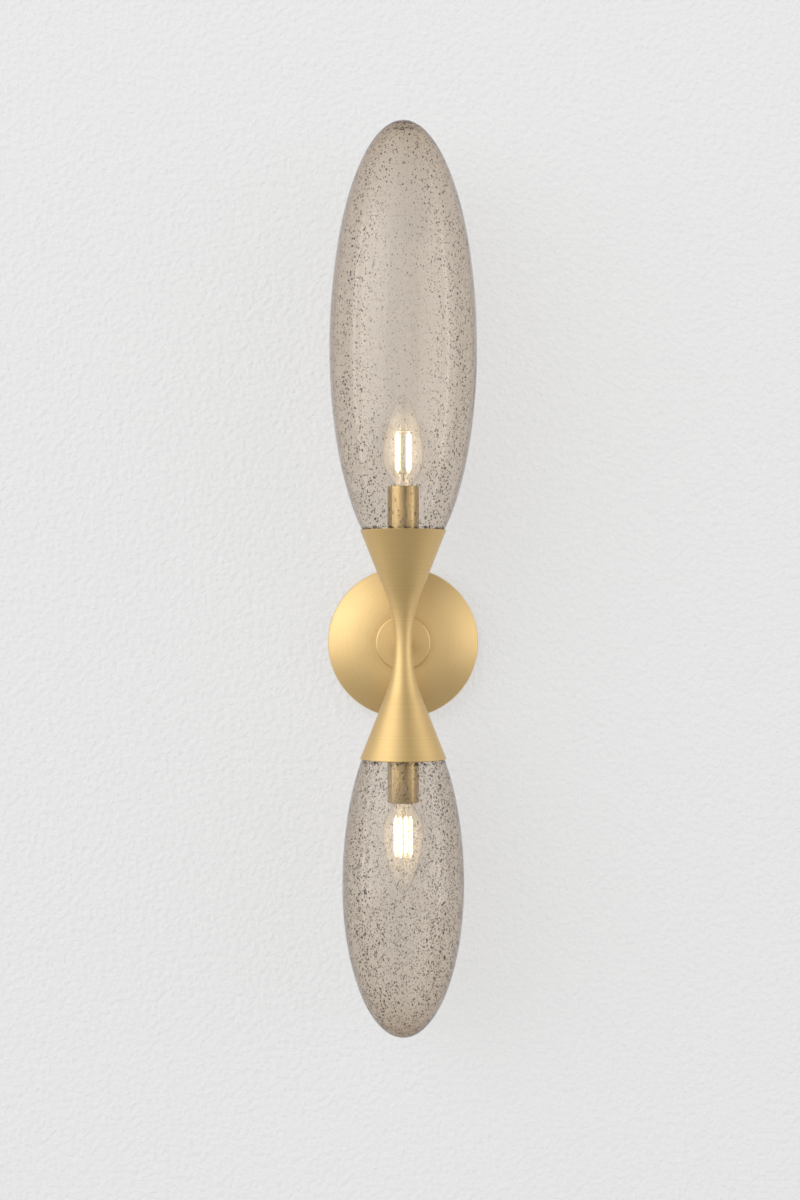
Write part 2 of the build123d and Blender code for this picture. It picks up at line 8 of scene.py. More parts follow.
import bpy
import numpy as np
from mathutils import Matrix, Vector


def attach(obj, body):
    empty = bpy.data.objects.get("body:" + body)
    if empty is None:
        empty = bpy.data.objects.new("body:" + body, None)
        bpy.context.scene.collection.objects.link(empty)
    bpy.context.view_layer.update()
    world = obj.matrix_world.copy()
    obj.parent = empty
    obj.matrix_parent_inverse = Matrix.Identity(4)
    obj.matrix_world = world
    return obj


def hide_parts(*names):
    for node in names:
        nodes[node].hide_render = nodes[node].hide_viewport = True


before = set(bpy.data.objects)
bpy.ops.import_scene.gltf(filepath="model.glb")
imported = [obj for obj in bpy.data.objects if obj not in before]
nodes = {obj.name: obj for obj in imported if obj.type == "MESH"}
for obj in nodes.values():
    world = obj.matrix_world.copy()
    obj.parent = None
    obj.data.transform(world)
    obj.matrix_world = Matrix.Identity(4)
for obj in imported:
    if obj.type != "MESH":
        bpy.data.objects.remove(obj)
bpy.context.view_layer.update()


# Wall plate. A disc of sheet brass spun into a shallow dome with a flat middle and a straight skirt that
# meets the wall, brushed in fine rings while it turned and lacquered satin. The arm's nipple clamps it to
# the arm.
seam_gap = 2e-6
soft_angle = math.radians(25)


def turned(name, rings, place, turn=(0, 0, 0), sides=192, closed=True):
    """Turned piece: a circle drawn out ring by ring, each moved along the axis and scaled to its radius."""
    bpy.ops.object.select_all(action="DESELECT")
    radius, height = rings[0]
    bpy.ops.mesh.primitive_circle_add(vertices=sides, radius=radius, location=(0, 0, height))
    piece = bpy.context.object
    piece.name = piece.data.name = name
    bpy.ops.object.transform_apply(location=True)
    bpy.ops.object.mode_set(mode="EDIT")
    bpy.ops.mesh.select_all(action="SELECT")
    for next_radius, next_height in rings[1:] + (rings[:1] if closed else []):
        bpy.ops.mesh.extrude_region_move(TRANSFORM_OT_translate={"value": (0, 0, next_height - height)})
        grow = next_radius / radius
        bpy.ops.transform.resize(value=(grow, grow, 1), center_override=(0, 0, next_height))
        radius, height = next_radius, next_height
    bpy.ops.mesh.select_all(action="SELECT")
    bpy.ops.mesh.remove_doubles(threshold=seam_gap)
    bpy.ops.mesh.normals_make_consistent(inside=False)
    bpy.ops.object.mode_set(mode="OBJECT")
    piece.location = place
    piece.rotation_euler = turn
    bpy.ops.object.transform_apply(location=True, rotation=True)
    bpy.ops.object.shade_smooth_by_angle(angle=soft_angle)
    return piece


def bend(centre, radius, start, finish, steps):
    """Points along an arc of a turned outline, as radius and height, between two angles in degrees."""
    angles = [math.radians(start + (finish - start) * step / steps) for step in range(steps + 1)]
    return [(centre[0] + radius * math.cos(a), centre[1] + radius * math.sin(a)) for a in angles]


def new_material(name):
    """Material with a plain Principled shader, ready for its pattern."""
    material = bpy.data.materials.new(name)
    material.use_nodes = True
    tree = material.node_tree
    return material, tree, tree.nodes["Principled BSDF"]


def lay(material, *pieces):
    """Give whole pieces one material."""
    for piece in pieces:
        piece.data.materials.clear()
        piece.data.materials.append(material)


def grain(tree, size, detail=2):
    """Uneven pattern that is fixed to the piece, as a value between 0 and 1."""
    place = tree.nodes.new("ShaderNodeTexCoord")
    noise = tree.nodes.new("ShaderNodeTexNoise")
    noise.inputs["Scale"].default_value = size
    noise.inputs["Detail"].default_value = detail
    tree.links.new(place.outputs["Object"], noise.inputs["Vector"])
    return noise.outputs["Fac"]


def mix_colour(tree, share, first, second):
    """Blend of two colours by a pattern's value."""
    mix = tree.nodes.new("ShaderNodeMix")
    mix.data_type = "RGBA"
    mix.inputs[6].default_value = (*first, 1)
    mix.inputs[7].default_value = (*second, 1)
    tree.links.new(share, mix.inputs[0])
    return mix.outputs[2]


def spread(tree, value, low, high, start=0, finish=1):
    """A pattern's value, from start to finish, spread between two limits."""
    limits = tree.nodes.new("ShaderNodeMapRange")
    limits.inputs["From Min"].default_value = start
    limits.inputs["From Max"].default_value = finish
    limits.inputs["To Min"].default_value = low
    limits.inputs["To Max"].default_value = high
    tree.links.new(value, limits.inputs["Value"])
    return limits.outputs["Result"]


def relief(tree, surface, height, strength, depth):
    """Raise and sink a surface a little by a pattern's value."""
    bump = tree.nodes.new("ShaderNodeBump")
    bump.inputs["Strength"].default_value = strength
    bump.inputs["Distance"].default_value = depth
    tree.links.new(height, bump.inputs["Height"])
    tree.links.new(bump.outputs["Normal"], surface.inputs["Normal"])


new_tones = ((0.545, 0.380, 0.160), (0.665, 0.472, 0.208))
ring_share, cloud_share = 0.65, 0.35


def satin_brass(name, axis, lines, centre=(0, 0, 0), tones=new_tones, gloss=(0.56, 0.44), drawn=0.15):
    """Brushed brass: fine rings round the axis that the piece turned on, over a faint cloudiness."""
    material, tree, brass = new_material(name)
    place = tree.nodes.new("ShaderNodeTexCoord")
    shift = tree.nodes.new("ShaderNodeMapping")
    shift.inputs["Location"].default_value = [-c for c in centre]
    tree.links.new(place.outputs["Object"], shift.inputs["Vector"])
    part = tree.nodes.new("ShaderNodeSeparateXYZ")
    tree.links.new(shift.outputs["Vector"], part.inputs["Vector"])
    if axis == "Y":
        flat = tree.nodes.new("ShaderNodeCombineXYZ")
        tree.links.new(part.outputs["X"], flat.inputs["X"])
        tree.links.new(part.outputs["Z"], flat.inputs["Z"])
        reach = tree.nodes.new("ShaderNodeVectorMath")
        reach.operation = "LENGTH"
        tree.links.new(flat.outputs["Vector"], reach.inputs[0])
        along = reach.outputs["Value"]
    else:
        along = part.outputs["Z"]
    rings = tree.nodes.new("ShaderNodeTexNoise")
    rings.noise_dimensions = "1D"
    rings.inputs["Scale"].default_value = lines
    rings.inputs["Detail"].default_value = 5
    tree.links.new(along, rings.inputs["W"])
    both = tree.nodes.new("ShaderNodeMath")
    both.operation = "MULTIPLY_ADD"
    both.inputs[1].default_value = ring_share
    tree.links.new(rings.outputs["Fac"], both.inputs[0])
    tree.links.new(spread(tree, grain(tree, 55, 4), 0, cloud_share), both.inputs[2])
    tone = mix_colour(tree, both.outputs["Value"], *tones)
    tree.links.new(tone, brass.inputs["Base Color"])
    tree.links.new(spread(tree, both.outputs["Value"], *gloss), brass.inputs["Roughness"])
    brass.inputs["Metallic"].default_value = 1
    brass.inputs["Coat Weight"].default_value = 0.35
    brass.inputs["Coat Roughness"].default_value = 0.35
    brass.inputs["Anisotropic"].default_value = drawn
    brass.inputs["Anisotropic Rotation"].default_value = 0.25
    around = tree.nodes.new("ShaderNodeTangent")
    around.direction_type = "RADIAL"
    around.axis = axis
    tree.links.new(around.outputs["Tangent"], brass.inputs["Tangent"])
    relief(tree, brass, rings.outputs["Fac"], strength=0.06, depth=0.0004)
    return material


plate_radius = 0.060325
plate_depth = 0.022
plate_skirt = 0.010
plate_wall = 0.0012
plate_bore = 0.00505
pad_radius = 0.02295
toward_room = (math.radians(90), 0, 0)
dome_run = plate_radius - pad_radius
dome_rise = plate_depth - plate_skirt
dome_radius = (dome_run**2 + dome_rise**2) / (2 * dome_rise)
dome_centre = (pad_radius, plate_depth - dome_radius)
dome_end = math.degrees(math.acos(dome_run / dome_radius))
outer_end, inner_end = dome_end + 3.2, dome_end + 1.6
edge_round, edge_angle = 0.0024, 44
edge_centre = (plate_radius - edge_round, plate_skirt - 0.0007)
foot_bevel = 0.0003
inner_radius = plate_radius - plate_wall
outside = bend(dome_centre, dome_radius, 90, outer_end, 40) + bend(edge_centre, edge_round, edge_angle, 0, 8)
inside = bend(dome_centre, dome_radius - plate_wall, inner_end, 90, 40)
plate_rings = [(plate_bore, plate_depth)] + outside
plate_rings += [(plate_radius, foot_bevel), (plate_radius - foot_bevel, 0), (inner_radius, 0)]
plate_rings += [(inner_radius, inside[0][1])] + inside + [(plate_bore, plate_depth - plate_wall)]
plate = turned("wall_plate", plate_rings, (0, 0, 0), toward_room, sides=256)
plate_tones = ((0.600, 0.426, 0.190), (0.730, 0.527, 0.245))
plate_brass = satin_brass("plate_brass", "Y", 900, tones=plate_tones, gloss=(0.58, 0.46), drawn=0.3)
lay(plate_brass, plate)
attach(plate, "fixture")
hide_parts("backplate")


# Arm flange. A flat brass disc with a rounded edge, turned from bar, that covers the middle of the plate
# where the arm leaves it.
flange_radius = 0.02175
flange_front = 0.0255
flange_round = 0.0012
flange_rings = [(plate_bore, plate_depth), (flange_radius, plate_depth)]
flange_rings += bend((flange_radius - flange_round, flange_front - flange_round), flange_round, 0, 90, 8)
flange_rings += [(plate_bore, flange_front)]
flange = turned("flange_disc", flange_rings, (0, 0, 0), toward_room)
lay(plate_brass, flange)
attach(flange, "fixture")
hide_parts("arm_flange")


# Arm. A short straight brass tube, turned and brushed like the rest. It is shaped at the front to the waist
# of the hourglass and brazed to it.
lay(satin_brass("arm_brass", "Y", 500), nodes["arm_tube"])


# Wall fixings. A zinc-plated strap on the wall box, the nipple, washer and nut that clamp the arm, and the
# earthing screw with its bare copper lead and lug.
def plain_finish(name, first, second, metallic, gloss, grain_size, strength=0.03):
    """Everyday finish with a fine grain: two close colours, a span of roughness and a slight relief."""
    material, tree, surface = new_material(name)
    uneven = grain(tree, grain_size, 4)
    tree.links.new(mix_colour(tree, uneven, first, second), surface.inputs["Base Color"])
    tree.links.new(spread(tree, uneven, *gloss), surface.inputs["Roughness"])
    surface.inputs["Metallic"].default_value = metallic
    relief(tree, surface, uneven, strength, depth=0.0005)
    return material


zinc = plain_finish("zinc_plate", (0.50, 0.51, 0.53), (0.68, 0.68, 0.67), 1, (0.28, 0.5), 240, 0.08)
green = plain_finish("green_coat", (0.03, 0.20, 0.07), (0.06, 0.32, 0.12), 0.4, (0.3, 0.5), 500)
copper = plain_finish("bare_copper", (0.55, 0.25, 0.13), (0.78, 0.42, 0.26), 1, (0.25, 0.5), 600, 0.06)
lay(zinc, nodes["mounting_strap"], nodes["arm_nipple"], nodes["arm_lock_washer"], nodes["arm_lock_nut"])
lay(green, nodes["ground_screw"])
lay(copper, nodes["ground_lead"], nodes["ground_lug"])


# Wire connectors. Two tapered twist-on caps of orange plastic with moulded flutes for the fingers, one on
# each side of the plate's hollow, where the leads of both lamps are joined.
connector_start, connector_end = 0.016, 0.034
mouth_radius, tail_radius = 0.0052, 0.0036
mouth_bore, tail_face = 0.0040, 0.0030
funnel_end, grip_radius = 0.022, 0.00205
lead_end, lead_depth = 0.02805, 0.008
flutes, flute_depth, skin_depth = 12, 0.045, 0.0002
flute_start, flute_end = connector_start + 0.002, connector_end - 0.0002
on_axis = 0.0000004
shell_span, shell_steps = connector_end - connector_start, 12
connector_rings = [(on_axis, lead_end), (grip_radius, lead_end)]
connector_rings += [(grip_radius, funnel_end), (mouth_bore, connector_start)]
for step in range(shell_steps + 1):
    share = step / shell_steps
    shell_radius = mouth_radius + (tail_radius - mouth_radius) * share
    connector_rings.append((shell_radius, connector_start + shell_span * share))
connector_rings += [(tail_face, connector_end), (on_axis, connector_end)]
orange = plain_finish("moulded_orange", (0.62, 0.20, 0.03), (0.78, 0.29, 0.06), 0, (0.4, 0.55), 900, 0.1)
for side, turn in (("left", (0, math.radians(-90), 0)), ("right", (0, math.radians(90), 0))):
    cap = turned(f"{side}_connector", connector_rings, (0, -lead_depth, 0), turn, sides=96, closed=False)
    for corner in cap.data.vertices:
        ray = Vector((corner.co.y + lead_depth, corner.co.z))
        level = abs(corner.co.x)
        skin = mouth_radius + (tail_radius - mouth_radius) * (level - connector_start) / shell_span
        if ray.length > skin - skin_depth and flute_start < level < flute_end:
            ray *= 1 - flute_depth * (0.5 - 0.5 * math.cos(flutes * math.atan2(ray.y, ray.x)))
            corner.co.y, corner.co.z = ray.x - lead_depth, ray.y
    lay(orange, cap)
    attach(cap, "fixture")
    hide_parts("wire_connectors")


# Plate screws. Two small brass button heads with a cross slot, through the top and bottom of the skirt into
# the ears of the strap.
def pointing(rings, up):
    """Rings of a piece that points up, or with up as -1, of its twin that points down."""
    return [(radius, up * height) for radius, height in rings]


head_radius, head_height, head_round = 0.0036, 0.002, 0.001
shank_radius, shank_length = 0.002, 0.009
point_radius, point_height = shank_radius - 0.0004, 0.0005
slot_length, slot_width, slot_depth = 0.0040, 0.0008, 0.0024
screw_depth = 0.005
screw_brass = plain_finish("screw_brass", (0.62, 0.43, 0.19), (0.78, 0.57, 0.28), 1, (0.25, 0.4), 900)
screw_rings = [(on_axis, -shank_length), (point_radius, -shank_length)]
screw_rings += [(shank_radius, point_height - shank_length), (shank_radius, 0)]
screw_rings += [(head_radius, 0), (head_radius, head_height / 2)]
screw_rings += bend((head_radius - head_round, head_height - head_round), head_round, 10, 90, 6)
screw_rings += [(on_axis, head_height)]
for spot, up in (("top", 1), ("bottom", -1)):
    seat = (0, -screw_depth, up * plate_radius)
    head_top = (0, -screw_depth, up * (plate_radius + head_height))
    screw = turned(f"{spot}_plate_screw", pointing(screw_rings, up), seat, sides=48, closed=False)
    for slot in ((slot_length, slot_width, slot_depth), (slot_width, slot_length, slot_depth)):
        bpy.ops.object.select_all(action="DESELECT")
        bpy.ops.mesh.primitive_cube_add(size=1, location=head_top)
        blade = bpy.context.object
        blade.scale = slot
        bpy.ops.object.transform_apply(location=True, scale=True)
        cut = screw.modifiers.new("cross_slot", "BOOLEAN")
        cut.operation = "DIFFERENCE"
        cut.object = blade
        bpy.context.view_layer.objects.active = screw
        bpy.ops.object.modifier_apply(modifier=cut.name)
        bpy.data.objects.remove(blade)
    lay(screw_brass, screw)
    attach(screw, "fixture")
    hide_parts("backplate_screws")


# Leads. Stranded wire in smooth black or white insulation. They run from each socket through the tube and
# the arm to the connectors.
black_skin = plain_finish("black_insulation", (0.012, 0.012, 0.013), (0.03, 0.03, 0.03), 0, (0.3, 0.45), 800)
white_skin = plain_finish("white_insulation", (0.72, 0.72, 0.70), (0.84, 0.84, 0.82), 0, (0.3, 0.45), 800)
lay(black_skin, nodes["upper_live_lead"], nodes["lower_live_lead"])
lay(white_skin, nodes["upper_neutral_lead"], nodes["lower_neutral_lead"])


# Hourglass. Two cones spun from one brass tube that is drawn in to a narrow waist, with a softly rounded lip
# at each end. The lathe leaves fine level rings outside. The inside is rough, and painted a dark brown as
# shade in the hollow of the cones.
axis_to_wall = 0.075
lamp_axis = (0, -axis_to_wall, 0)
half_height = 0.0883
rim_radius = 0.03335
waist_radius = 0.00675
body_wall = 0.001
cone_angle = 21.8
slope = math.tan(math.radians(cone_angle))
cone_start = rim_radius - half_height * slope
across = math.cos(math.radians(cone_angle))
waist_arc = (waist_radius - cone_start) * across / (1 - across)
arc_centre = (waist_radius + waist_arc, 0)
arc_height = waist_arc * math.sin(math.radians(cone_angle))


def cone(level, depth):
    """Radius of the upper cone at a level, at a depth under its outer face."""
    return cone_start + level * slope - depth / across


ring_step, ring_count = 0.0025, 17
outer_levels = [arc_height + ring_step * step for step in range(1, ring_count + 1)]
inner_levels = (half_height - 0.004, 0.07, 0.055, arc_height + ring_step)
lip_level = half_height - body_wall * math.sin(math.radians(cone_angle)) / 2
outer_lip = ((0, -0.0003), (0.00018, 0.00004))
inner_lip = ((0.00082, 0.0002), (body_wall, -0.0002))
body_outside = [(cone(level, 0), level) for level in outer_levels]
body_outside += [(cone(lip_level, depth), lip_level + rise) for depth, rise in outer_lip]
body_inside = [(cone(lip_level, depth), lip_level + rise) for depth, rise in inner_lip]
body_inside += [(cone(level, body_wall), level) for level in inner_levels]
waist_outside = bend(arc_centre, waist_arc, 180 + cone_angle, 180 - cone_angle, 48)
waist_inside = bend(arc_centre, waist_arc + body_wall, 180 - cone_angle, 180 + cone_angle, 24)
lower_outside = pointing(reversed(body_outside), -1)
lower_inside = pointing(reversed(body_inside), -1)
body_rings = waist_outside + body_outside + body_inside + waist_inside + lower_inside + lower_outside
hourglass = turned("hourglass", body_rings, lamp_axis, sides=256)
lay(satin_brass("hourglass_brass", "Z", 800, lamp_axis), hourglass)
# Painted shade: faces that look in towards the axis get a dark brown for the shade in the hollow.
hollow_shade = plain_finish("hollow_shade", (0.06, 0.042, 0.025), (0.13, 0.09, 0.05), 0.8, (0.5, 0.7), 400)
hourglass.data.materials.append(hollow_shade)
inward = -0.5
for face in hourglass.data.polygons:
    out_from_axis = face.center - Vector((*lamp_axis[:2], face.center.z))
    if face.normal.dot(out_from_axis.normalized()) < inward:
        face.material_index = 1
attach(hourglass, "fixture")
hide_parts("body_shell")


# Socket sleeves. Plain drawn brass tubes with a softened edge, in a darker brass than the rest: painted
# shade, as they stand deep in the smoke glass. They stand in the cups, hide the sockets and are seen through
# the glass.
ends = (("upper", 1), ("lower", -1))
sleeve_radius = 0.01225
sleeve_bore = 0.01145
sleeve_round = 0.0003
cup_seat = 0.071615
sleeve_top = 0.121915
sleeve_levels = (cup_seat, 0.085, 0.1)
round_level = sleeve_top - sleeve_round
sleeve_rings = [(sleeve_bore, cup_seat)] + [(sleeve_radius, level) for level in sleeve_levels]
sleeve_rings += bend((sleeve_radius - sleeve_round, round_level), sleeve_round, 0, 90, 4)
sleeve_rings += bend((sleeve_bore + sleeve_round, round_level), sleeve_round, 90, 180, 4)
# Painted shade: darker brass tones for the sleeves deep inside the smoke glass.
glass_shaded_tones = ((0.40, 0.315, 0.172), (0.54, 0.42, 0.225))
sleeve_brass = satin_brass("sleeve_brass", "Z", 600, lamp_axis, glass_shaded_tones, gloss=(0.30, 0.20), drawn=0.7)
for end, up in ends:
    sleeve = turned(f"{end}_sleeve", pointing(sleeve_rings, up), lamp_axis, sides=96)
    lay(sleeve_brass, sleeve)
    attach(sleeve, "fixture")
    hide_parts(f"{end}_socket_sleeve")


# Cups and sockets. A steel cup is wedged in each cone and drawn down by a nut on the long threaded tube. On
# the tube stands a phenolic socket with a nickel-plated screw shell and a spring tongue. A silicone ring
# cushions the shade.
phenolic = plain_finish("black_phenolic", (0.02, 0.02, 0.02), (0.05, 0.045, 0.04), 0, (0.4, 0.6), 500, 0.05)
silicone = plain_finish("silicone", (0.62, 0.62, 0.60), (0.74, 0.74, 0.72), 0, (0.45, 0.6), 300)
nickel = plain_finish("nickel_plate", (0.66, 0.63, 0.58), (0.78, 0.76, 0.72), 1, (0.18, 0.34), 700)
lay(zinc, nodes["center_tube"])
for end in ("upper", "lower"):
    lay(zinc, nodes[f"{end}_shade_cup"], nodes[f"{end}_cup_washer"], nodes[f"{end}_cup_nut"])
    lay(silicone, nodes[f"{end}_shade_gasket"])
    lay(phenolic, nodes[f"{end}_socket_body"])
    lay(nickel, nodes[f"{end}_socket_shell"], nodes[f"{end}_socket_contact"])
    lay(sleeve_brass, nodes[f"{end}_glass_collar"])


# Candle bulbs. A clear blown envelope with a drawn out tip, on a screw base. When it is lit, the glass glows
# softly round the filaments.
def darker_edge(tree, glass, face_on, edge_on, start, finish):
    """Tint a glass darker edge on: painted shade for its outline, beside the longer way through its wall."""
    limb = tree.nodes.new("ShaderNodeLayerWeight")
    share = spread(tree, limb.outputs["Facing"], 0, 1, start, finish)
    tree.links.new(mix_colour(tree, share, face_on, edge_on), glass.inputs["Base Color"])


def let_through(tree, surface, share, tint):
    """Let light pass straight through a surface, by a share and in a tint."""
    clear = tree.nodes.new("ShaderNodeBsdfTransparent")
    clear.inputs["Color"].default_value = (*tint, 1)
    choose = tree.nodes.new("ShaderNodeMixShader")
    tree.links.new(share, choose.inputs["Fac"])
    tree.links.new(surface.outputs["BSDF"], choose.inputs[1])
    tree.links.new(clear.outputs["BSDF"], choose.inputs[2])
    tree.links.new(choose.outputs["Shader"], tree.nodes["Material Output"].inputs["Surface"])


def lamp_light(tree):
    """Share for what the lamps shine through, so that clear glass throws no dark shadow."""
    return tree.nodes.new("ShaderNodeLightPath").outputs["Is Shadow Ray"]


glow_wide, glow_tall, glow_level = 0.03, 0.042, 0.152
glow_strength = 0.25


def clear_glass(name, up):
    """Bulb glass with a painted dark edge, and the warm glow of the filaments on its inside."""
    material, tree, glass = new_material(name)
    # Painted shade: a dark outline where the bulb glass is seen edge on.
    darker_edge(tree, glass, (0.985, 0.98, 0.97), (0.38, 0.37, 0.36), 0.60, 0.86)
    glass.inputs["Roughness"].default_value = 0
    glass.inputs["Transmission Weight"].default_value = 1
    glass.inputs["IOR"].default_value = 1.45
    place = tree.nodes.new("ShaderNodeTexCoord")
    centre = tree.nodes.new("ShaderNodeMapping")
    centre.inputs["Location"].default_value = (0, axis_to_wall / glow_wide, -up * glow_level / glow_tall)
    centre.inputs["Scale"].default_value = (1 / glow_wide, 1 / glow_wide, 1 / glow_tall)
    tree.links.new(place.outputs["Object"], centre.inputs["Vector"])
    glow = tree.nodes.new("ShaderNodeTexGradient")
    glow.gradient_type = "QUADRATIC_SPHERE"
    tree.links.new(centre.outputs["Vector"], glow.inputs["Vector"])
    glass.inputs["Emission Color"].default_value = (1.0, 0.76, 0.42, 1)
    tree.links.new(spread(tree, glow.outputs["Fac"], 0, glow_strength), glass.inputs["Emission Strength"])
    let_through(tree, glass, lamp_light(tree), (0.97, 0.97, 0.96))
    return material


def flow(first, first_pull, last_pull, last, steps):
    """Points along a soft curve of a turned outline that leaves and arrives by its two pulls."""
    ways = (first, first_pull, last_pull, last)
    points = []
    for step in range(steps + 1):
        t = step / steps
        weights = ((1 - t) ** 3, 3 * t * (1 - t) ** 2, 3 * t**2 * (1 - t), t**3)
        points.append(tuple(sum(w * way[i] for w, way in zip(weights, ways)) for i in (0, 1)))
    return points


bulb_contact = 0.094415
bulb_wall = 0.0009
bulb_radius = 0.016
bulb_neck = 0.00545
tip_pull = 0.007
neck_bottom = 0.109415
neck_top = 0.112915
bulb_belly = bulb_contact + 0.05
bulb_tip = bulb_contact + 0.098
flare = (bulb_belly - neck_top) / 2


def envelope(wall):
    """Outline of the bulb from its neck to its tip, at a depth under its outer face."""
    neck, belly, tip, pull = bulb_neck - wall, bulb_radius - wall, bulb_tip - wall, tip_pull - wall
    widest = (belly, bulb_belly)
    rings = [(neck, neck_bottom)]
    rings += flow((neck, neck_top), (neck, neck_top + flare), (belly, bulb_belly - flare), widest, 24)
    rings += flow(widest, (belly, bulb_belly + flare), (pull, tip), (on_axis, tip), 32)[1:]
    return rings


bulb_rings = list(reversed(envelope(bulb_wall))) + envelope(0)
for end, up in ends:
    bulb = turned(f"{end}_envelope", pointing(bulb_rings, up), lamp_axis, sides=96, closed=False)
    bulb_clear = clear_glass(f"{end}_bulb_clear", up)
    lay(bulb_clear, bulb, nodes[f"{end}_bulb_stem"])
    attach(bulb, f"{end}_bulb")
    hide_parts(f"{end}_bulb_glass")


# Filaments. Four thin sticks of tiny lamps, spot welded to wires that rise from the stem, each in a sheath of
# clear silicone full of phosphor. They are lit: the sticks burn out to a warm white and the sheath glows
# round them.
def glowing(name, colour, roughness, strength, grain_size, tones):
    """Lit phosphor: it shines by itself, in a fine grain of two warm tones."""
    material, tree, surface = new_material(name)
    surface.inputs["Base Color"].default_value = (*colour, 1)
    surface.inputs["Roughness"].default_value = roughness
    surface.inputs["Emission Strength"].default_value = strength
    warm = mix_colour(tree, grain(tree, grain_size), *tones)
    tree.links.new(warm, surface.inputs["Emission Color"])
    return material


stick_tones = ((1.0, 0.88, 0.62), (1.0, 0.94, 0.76))
sheath_tones = ((1.0, 0.80, 0.46), (1.0, 0.88, 0.60))
stick_light = glowing("lit_phosphor", (1.0, 0.82, 0.45), 0.6, 3.2, 900, stick_tones)
lay(stick_light, nodes["upper_bulb_filaments"], nodes["lower_bulb_filaments"])
sheath_light = glowing("glowing_sheath", (1.0, 0.80, 0.42), 0.5, 3.0, 700, sheath_tones)
tree = sheath_light.node_tree
rim_view = tree.nodes.new("ShaderNodeLayerWeight")
thinning = spread(tree, rim_view.outputs["Facing"], 0.65, 0.0, 0.05, 0.85)
tree.links.new(thinning, tree.nodes["Principled BSDF"].inputs["Alpha"])

stick_circle = 0.006
stick_bottom = bulb_contact + 0.040
stick_top = stick_bottom + 0.0275
sheath_overlap = 0.0004
near_axis = 89.99
for end, up, first_turn, sheath_radius in (("upper", 1, 45, 0.0020), ("lower", -1, 20, 0.0017)):
    foot = (0, stick_bottom + sheath_radius - sheath_overlap)
    head = (0, stick_top - sheath_radius + sheath_overlap)
    sheath_rings = bend(foot, sheath_radius, -near_axis, 0, 8) + bend(head, sheath_radius, 0, near_axis, 8)
    sheaths = []
    for quarter in range(4):
        angle = math.radians(first_turn + 90 * quarter)
        spot = (stick_circle * math.cos(angle), up * stick_circle * math.sin(angle) - axis_to_wall, 0)
        sheaths.append(turned(f"{end}_sheaths", pointing(sheath_rings, up), spot, sides=24, closed=False))
    bpy.ops.object.select_all(action="DESELECT")
    for one in sheaths:
        one.select_set(True)
    bpy.context.view_layer.objects.active = sheaths[0]
    bpy.ops.object.join()
    bpy.ops.object.shade_smooth()
    lay(sheath_light, sheaths[0])
    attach(sheaths[0], f"{end}_bulb")


# Bulb bases. A thin nickel-plated cap with a rolled screw thread, cemented to the neck, with a black glass
# insulator and a drop of solder as the contact below it.
base_radius = 0.00585
base_sheet = 0.0003
base_bottom = 0.098015
base_steps = 70
thread_pitch = 0.00254
thread_depth = 0.00045
thread_start = base_bottom + 0.0012
thread_end = base_bottom + 0.0098
thread_run_out = 0.0008
base_levels = [base_bottom + (neck_top - base_bottom) * step / base_steps for step in range(base_steps + 1)]
base_rings = [(base_radius - base_sheet, level) for level in reversed(base_levels)]
base_rings += [(base_radius, level) for level in base_levels]
for end, up in ends:
    base = turned(f"{end}_screw_base", pointing(base_rings, up), lamp_axis, sides=72)
    for corner in base.data.vertices:
        side = Vector((corner.co.x, corner.co.y + axis_to_wall))
        level = abs(corner.co.z)
        full = min(max(min(level - thread_start, thread_end - level) / thread_run_out, 0), 1)
        wind = level / thread_pitch - up * math.atan2(side.y, side.x) / (2 * math.pi)
        groove = thread_depth * full * (0.5 - 0.5 * math.cos(2 * math.pi * wind))
        side *= 1 - groove / side.length
        corner.co.x, corner.co.y = side.x, side.y - axis_to_wall
    bpy.ops.object.shade_smooth_by_angle(angle=math.radians(60))
    lay(nickel, base, nodes[f"{end}_bulb_wires"])
    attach(base, f"{end}_bulb")
    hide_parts(f"{end}_bulb_base")
black_glass = plain_finish("black_glass", (0.015, 0.015, 0.02), (0.03, 0.03, 0.035), 0, (0.1, 0.2), 400)
solder = plain_finish("solder", (0.55, 0.55, 0.55), (0.70, 0.70, 0.69), 1, (0.35, 0.55), 1500, 0.2)
lay(black_glass, nodes["upper_bulb_insulator"], nodes["lower_bulb_insulator"])
lay(solder, nodes["upper_bulb_tip"], nodes["lower_bulb_tip"])


# Shades. Each is one blown shell of smoke glass, closed and a little thicker at the tip, drawn in at the
# shoulder to a straight neck. The surface waves slightly, as hand-blown glass does.
def smoke_glass(name):
    """Taupe glass that takes a little light, more edge on with painted shade there, with slow waves in it."""
    material, tree, glass = new_material(name)
    # Painted shade: a darker outline where the shade's glass is seen edge on.
    darker_edge(tree, glass, (1, 1, 1), (0.58, 0.56, 0.56), 0.66, 0.86)
    glass.inputs["Roughness"].default_value = 0
    glass.inputs["Transmission Weight"].default_value = 1
    glass.inputs["IOR"].default_value = 1.36
    place = tree.nodes.new("ShaderNodeTexCoord")
    stretch = tree.nodes.new("ShaderNodeMapping")
    stretch.inputs["Scale"].default_value = (1, 1, 0.35)
    tree.links.new(place.outputs["Object"], stretch.inputs["Vector"])
    waves = tree.nodes.new("ShaderNodeTexNoise")
    waves.inputs["Scale"].default_value = 45
    waves.inputs["Detail"].default_value = 2
    tree.links.new(stretch.outputs["Vector"], waves.inputs["Vector"])
    relief(tree, glass, waves.outputs["Fac"], strength=0.10, depth=0.002)
    let_through(tree, glass, lamp_light(tree), (0.99, 0.99, 0.99))
    depth = tree.nodes.new("ShaderNodeVolumeAbsorption")
    depth.inputs["Color"].default_value = (0.585, 0.425, 0.235, 1)
    depth.inputs["Density"].default_value = 200
    tree.links.new(depth.outputs["Volume"], tree.nodes["Material Output"].inputs["Volume"])
    return material


